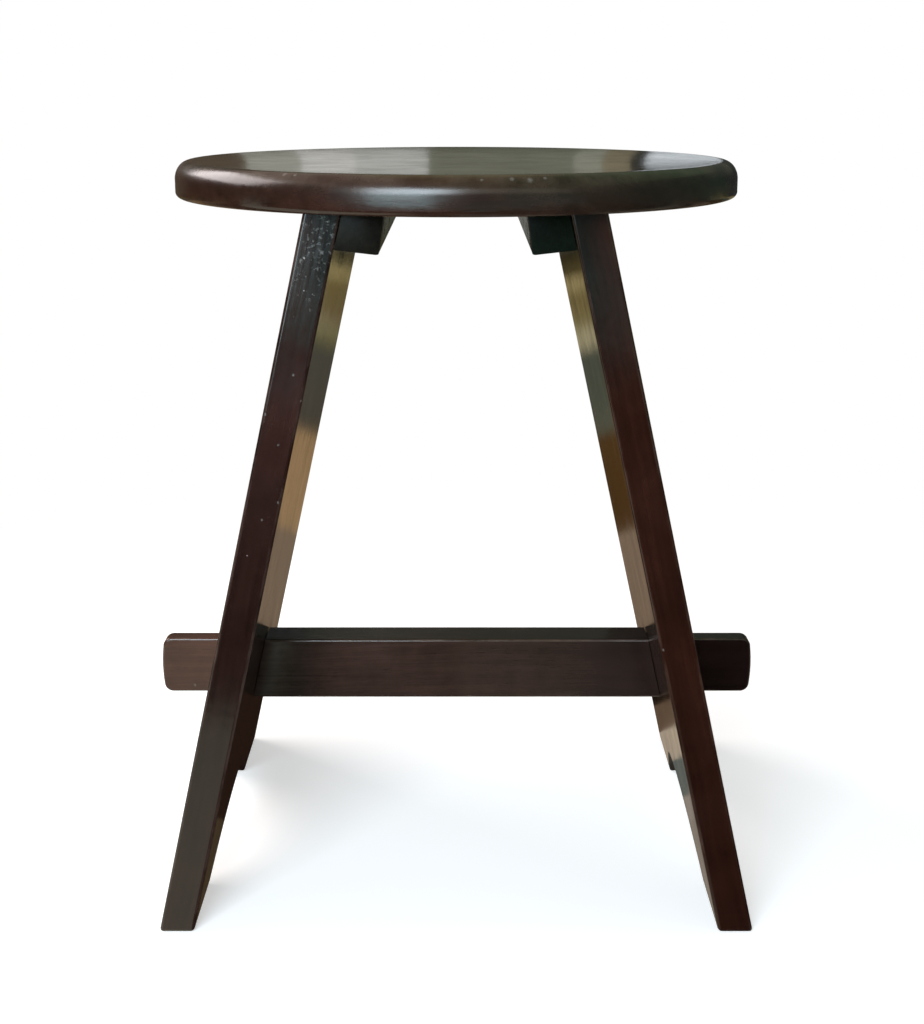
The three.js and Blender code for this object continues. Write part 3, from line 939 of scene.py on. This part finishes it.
arch_rise = arch_height / math.cos(splay)
arch_radius = (arch_width**2 / 4 + arch_rise**2) / (2 * arch_rise)
arch_centre = at_level(board_thickness / 2, 0) + arch_rise - arch_radius
arch_steps = 24
mortise_half = tenon_thickness / 2 + fit_gap
mortise_bottom = stretcher_level - tenon_height / 2 - fit_gap
mortise_top = stretcher_level + tenon_height / 2 + fit_gap
print("arch radius in mm:", round(arch_radius / MM, 1))

# %% Outline of a leg board
def board_outline(out, way):
    foot, top = at_level(out, 0), at_level(out, leg_top)
    low, high = at_level(out, mortise_bottom), at_level(out, mortise_top)
    arch_start = math.acos((foot - arch_centre) / arch_radius)
    points = [(-board_width, foot)]
    for i in range(arch_steps + 1):
        t = arch_start * (1 - i / arch_steps)
        points.append((-arch_radius * math.sin(t), arch_centre + arch_radius * math.cos(t)))
    points += [(0, low), (-mortise_half, low), (-mortise_half, high), (0, high)]
    points += [(0, top), (-board_width, top)]
    return [Vector((out, way * -y, z)) for y, z in points]


arris, foot_round, arch_round, glue_line, crisp = 2 * MM, 2.5 * MM, 1.0 * MM, 0.15 * MM, 0.25 * MM
outline_rounds = [foot_round] + [arch_round] * arch_steps
outline_rounds += [glue_line, crisp, crisp, crisp, glue_line, crisp, arris]
corner_rounds = [foot_round, arch_round] + [0] * (arch_steps - 1)
corner_rounds += [glue_line, 0, 0, 0, 0, crisp, crisp]
print("corners of a board:", len(corner_rounds))

# %% Leg boards
for side, turn in sides.items():
    # In the right leg's frame -Y is the front; the left leg is turned half round, so there +Y is
    for end, way in (("front", -1), ("rear", 1)):
        node = f"{side}_leg_{end}_board"
        sign = way if side == "right" else -way
        inner, outer = ([turn @ p for p in board_outline(out, sign)] for out in (0, board_thickness))
        rounds = (outline_rounds, outline_rounds, corner_rounds)
        board = sawn(f"{side}_{end}_board", inner, outer, *rounds, leg_woods[node])
        hand_in(board, "leg_lacquer", node)

# %% [markdown]
# ## Stretcher
# The rail sits between the legs, cut to their slope, and a thinner tenon goes right through
# each leg and stands out beyond it with rounded corners. The real one is a single piece; here
# the rail and the long tenon bar are two closed shells in one mesh, crossing inside the rail.

# %% Tenon bar
tenon_corner, tenon_bow, corner_steps = 6 * MM, 0.8 * MM, 8
bow_places = (-0.8, -0.4, 0, 0.4, 0.8)


def bar_outline(y):
    straight_half = tenon_height / 2 - tenon_corner
    points = []
    for sx, sz, start in ((1, -1, -90), (1, 1, 0), (-1, 1, 90), (-1, -1, 180)):
        cx = sx * (rail_high.x - tenon_bow - tenon_corner)
        cz = stretcher_level + sz * straight_half
        for i in range(corner_steps + 1):
            a = math.radians(start + 90 * i / corner_steps)
            points.append(Vector((cx + tenon_corner * math.cos(a), y, cz + tenon_corner * math.sin(a))))
        if sx != sz:
            for k in bow_places:
                out, up = rail_high.x - tenon_bow * k * k, sx * k * straight_half
                points.append(Vector((sx * out, y, stretcher_level + up)))
    return points


near, far = bar_outline(-tenon_thickness / 2), bar_outline(tenon_thickness / 2)
long_round, shoulder_round = 1.5 * MM, 0.2 * MM
tenon_rounds = [long_round] * len(near)
print("points round the tenon bar:", len(near))

# %% Stretcher
def inner_face(level):
    return leg_top_inner + (seat_underside - level) * math.tan(splay)


shoulder_gap = fit_gap / math.cos(splay)
low_end, high_end = inner_face(rail_low.z) - shoulder_gap, inner_face(rail_high.z) - shoulder_gap
rail_outline = [
    (-low_end, rail_low.z), (low_end, rail_low.z), (high_end, rail_high.z), (-high_end, rail_high.z),
]
rail_front, rail_back = ([Vector((x, y, z)) for x, z in rail_outline] for y in (-rail_high.y, rail_high.y))
rail_rounds = [long_round, shoulder_round, long_round, shoulder_round]
cut_rounds = [shoulder_round] * len(rail_outline)
stretcher = sawn("stretcher_rail", rail_front, rail_back, rail_rounds, rail_rounds, cut_rounds, rail_wood)
tenon_bar = sawn("tenon_bar", near, far, tenon_rounds, tenon_rounds, [0] * len(near), rail_wood)
with bpy.context.temp_override(active_object=stretcher, selected_editable_objects=[stretcher, tenon_bar]):
    bpy.ops.object.join()
hand_in(stretcher, "stretcher_lacquer", "stretcher")

# %% [markdown]
# ## Screws
# The battens are screwed up into the seat and out into the legs. All the screws are alike but
# for their length, so one tree makes them: its start mesh is one point per screw head, with the
# direction it is driven in and its length as attributes. A slotted countersunk head, a shank
# and a point are placed on each of them. Each slot is left at its own angle, as the
# screwdriver left it: a random turn with a fixed seed.

# %% Screw places
head_diameter, head_depth, shank_diameter, point_length = 8.4 * MM, 3.6 * MM, 4.2 * MM, 5 * MM
seat_bite, leg_bite = 11 * MM, 12.5 * MM
seat_screw_length = batten_drop + batten_reach / 2 * seat_slope + seat_bite
leg_screw_length = batten_reach + batten_drop / 2 * leg_slope + leg_bite
first_leg_screw, edge_distance = 40 * MM, 41 * MM
last_leg_screw = board_width - edge_distance
seat_screw_offset = (first_leg_screw + last_leg_screw) / 2
into_seat, into_leg = Vector((0, 0, 1)), Vector((1, 0, 0))
screw_rows = []
for turn in batten_sides.values():
    rotation = turn.to_3x3()
    for y in (-seat_screw_offset, 0, seat_screw_offset):
        head_place = turn @ Vector((-batten_reach / 2, y, -batten_drop))
        screw_rows.append((head_place, rotation @ into_seat, seat_screw_length))
    for y in (-last_leg_screw, -first_leg_screw, first_leg_screw, last_leg_screw):
        head_place = turn @ Vector((-batten_reach, y, -batten_drop / 2))
        screw_rows.append((head_place, rotation @ into_leg, leg_screw_length))
screw_points = bpy.data.meshes.new("screw_points")
head_places, drives, lengths = zip(*screw_rows)
screw_points.from_pydata(head_places, [], [])
drive_mark = screw_points.attributes.new("drive", "FLOAT_VECTOR", "POINT")
drive_mark.data.foreach_set("vector", [c for drive in drives for c in drive])
length_mark = screw_points.attributes.new("length", "FLOAT", "POINT")
length_mark.data.foreach_set("value", lengths)
print("screws:", len(screw_rows))

# %% Screw tree: sizes, places and turns
screw_sizes = {
    "Head Radius": head_diameter / 2,
    "Head Depth": head_depth,
    "Shank Radius": shank_diameter / 2,
    "Point Length": point_length,
    "Slot Width": 1.2 * MM,
    "Slot Depth": 1.2 * MM,
}
slot_seed = 7
tree, given = start_tree("countersunk_screws", screw_sizes, "Iron", "Screws", start="Places")
places = add(tree, "GeometryNodeMeshToPoints", {"Mesh": given["Places"]})
driven = add(tree, "GeometryNodeInputNamedAttribute", {"Name": "drive"}, data_type="FLOAT_VECTOR")
long = add(tree, "GeometryNodeInputNamedAttribute", {"Name": "length"}, data_type="FLOAT")
facing = add(tree, "FunctionNodeAlignRotationToVector", {"Vector": driven.outputs["Attribute"]}, axis="Z")
turned = add(tree, "FunctionNodeRandomValue", {2: 0.0, 3: math.pi, "Seed": slot_seed}, data_type="FLOAT")
spin = add(tree, "FunctionNodeAxisAngleToRotation", {"Axis": (0, 0, 1), "Angle": turned.outputs[1]})
pose = add(tree, "FunctionNodeRotateRotation",
    {"Rotation": facing.outputs[0], "Rotate By": spin.outputs[0]}, rotation_space="LOCAL")
on_points = {"Points": places.outputs[0], "Rotation": pose.outputs[0]}
print("screw sizes:", len(screw_sizes))

# %% Screw tree: heads
head_sides, shank_sides = 24, 16
cone = add(tree, "GeometryNodeMeshCone",
    {"Vertices": head_sides, "Radius Bottom": given["Head Radius"], "Radius Top": given["Shank Radius"],
     "Depth": given["Head Depth"]}, fill_type="NGON")
slot_length = add(tree, "ShaderNodeMath", {0: given["Head Radius"], 1: 4.0}, operation="MULTIPLY")
slot_height = add(tree, "ShaderNodeMath", {0: given["Slot Depth"], 1: 2.0}, operation="MULTIPLY")
slot_size = add(tree, "ShaderNodeCombineXYZ",
    {0: slot_length.outputs[0], 1: given["Slot Width"], 2: slot_height.outputs[0]})
slot_block = add(tree, "GeometryNodeMeshCube", {"Size": slot_size.outputs[0]})
head = add(tree, "GeometryNodeMeshBoolean", {"Mesh 1": cone.outputs["Mesh"]}, operation="DIFFERENCE")
tree.links.new(slot_block.outputs["Mesh"], head.inputs["Mesh 2"])
heads = add(tree, "GeometryNodeInstanceOnPoints", {**on_points, "Instance": head.outputs["Mesh"]})
print("a head has", head_sides, "sides and one slot")

# %% Screw tree: shanks and points
rod_top = add(tree, "ShaderNodeMath",
    {0: long.outputs["Attribute"], 1: given["Point Length"]}, operation="SUBTRACT").outputs[0]
rod_length = add(tree, "ShaderNodeMath", {0: rod_top, 1: given["Head Depth"]}, operation="SUBTRACT")
rod_scale = add(tree, "ShaderNodeCombineXYZ", {0: 1.0, 1: 1.0, 2: rod_length.outputs[0]})
rod = add(tree, "GeometryNodeMeshCone",
    {"Vertices": shank_sides, "Radius Bottom": given["Shank Radius"], "Radius Top": given["Shank Radius"],
     "Depth": 1.0}, fill_type="NGON")
rods = add(tree, "GeometryNodeInstanceOnPoints",
    {**on_points, "Instance": rod.outputs["Mesh"], "Scale": rod_scale.outputs[0]})
tip = add(tree, "GeometryNodeMeshCone",
    {"Vertices": shank_sides, "Radius Bottom": given["Shank Radius"], "Radius Top": 0.0,
     "Depth": given["Point Length"]}, fill_type="NGON")
tips = add(tree, "GeometryNodeInstanceOnPoints", {**on_points, "Instance": tip.outputs["Mesh"]})
joined = add(tree, "GeometryNodeJoinGeometry")
for part, height in ((tips, rod_top), (rods, given["Head Depth"])):
    lift = add(tree, "ShaderNodeCombineXYZ", {2: height})
    lifted = add(tree, "GeometryNodeTranslateInstances",
        {"Instances": part.outputs[0], "Translation": lift.outputs[0], "Local Space": True})
    tree.links.new(lifted.outputs[0], joined.inputs[0])
tree.links.new(heads.outputs[0], joined.inputs[0])
end_tree(tree, joined.outputs[0], given["Iron"], "Screws")

# %% Screws
facet_angle = math.radians(40)
screws = from_tree("batten_screws", tree, {**screw_sizes, "Iron": aged_iron}, screw_points)
screws.data.set_sharp_from_angle(angle=facet_angle)
hand_in(screws, "screw_steel", *[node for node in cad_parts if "_screw_" in node])

# %% [markdown]
# ## Battens
# A batten is a square bar that stands between the leg's slope and plumb. Two of its faces are
# planed, to the leg and to the seat's underside, and the corner that shows is well rounded. The
# countersinks are cut with a boolean, which leaves the small ring gap round each head that a
# real countersink has.

# %% Room for the screws
overshoot, clearance, countersink_sides = 1 * MM, 0.25 * MM, 32
depth = head_depth + clearance + overshoot
slope = (head_diameter - shank_diameter) / 2 / head_depth
wide = head_diameter / 2 + clearance + overshoot * slope
holes = bmesh.new()
for place, drive, _ in screw_rows:
    turn = drive.to_track_quat("Z", "Y").to_matrix().to_4x4()
    middle = Matrix.Translation(place + drive * (depth / 2 - overshoot))
    bmesh.ops.create_cone(
        holes, cap_ends=True, segments=countersink_sides, radius1=wide, radius2=wide - depth * slope,
        depth=depth, matrix=middle @ turn)
holes_mesh = bpy.data.meshes.new("screw_room")
holes.to_mesh(holes_mesh)
holes.free()
holes_mesh.materials.append(batten_wood)
screw_room = bpy.data.objects.new("screw_room", holes_mesh)
bpy.context.collection.objects.link(screw_room)
print("countersinks:", len(screw_rows))

# %% Battens
beside_leg = batten_drop * leg_slope - fit_gap / math.cos(batten_turn)
under_seat = (batten_reach * math.sin(batten_tilt) - fit_gap) / math.cos(batten_tilt)
leg_corner = batten_frame.inverted() @ leg_frame @ Vector((-fit_gap, 0, at_level(-fit_gap, leg_top)))
section = [
    (-batten_reach, -batten_drop), (beside_leg, -batten_drop),
    (leg_corner.x, leg_corner.z), (-batten_reach, under_seat),
]
end_round, shown_round, fitted_round = 0.5 * MM, 2.5 * MM, 0.3 * MM
end_rounds, long_rounds = [end_round] * 4, [shown_round] + [fitted_round] * 3
for side, turn in batten_sides.items():
    near, far = ([turn @ Vector((x, y, z)) for x, z in section] for y in (-batten_end, batten_end))
    rounds = (end_rounds, end_rounds, long_rounds)
    batten = sawn(f"{side}_batten_bar", near, far, *rounds, batten_wood, screw_room)
    hand_in(batten, "batten_wood", f"{side}_batten")
bpy.data.objects.remove(screw_room)
